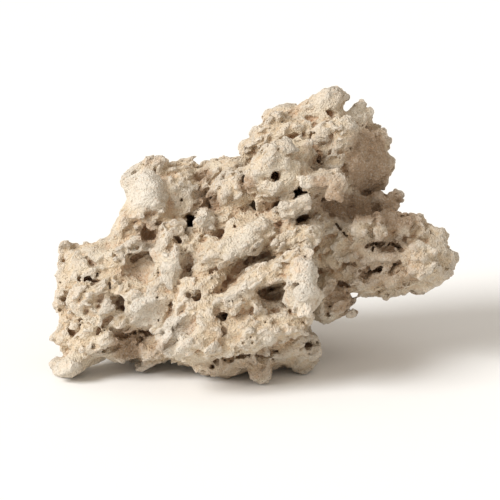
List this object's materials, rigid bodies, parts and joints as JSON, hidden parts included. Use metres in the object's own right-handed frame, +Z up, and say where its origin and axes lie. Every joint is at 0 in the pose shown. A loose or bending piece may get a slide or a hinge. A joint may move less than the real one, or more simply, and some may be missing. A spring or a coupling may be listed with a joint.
{
  "type": "dry reef rock",
  "caption": "A dry reef rock: one piece of pale, porous limestone with slanting ridges, wells and pits, a head over its right end and a blunt arm below it.",
  "frame": {"origin": "The middle of the rock's own box, at the level that its feet rest on.", "axes": "+X runs to the right along the rock, seen from the front, towards the head and the arm. +Y runs to the back. +Z is up."},
  "size_m": [0.3098, 0.2, 0.2094],
  "materials": {
    "limestone": "matt, porous and gritty"
  },
  "bodies": {
    "root": {"reef_rock": "limestone"}
  },
  "joints": []
}
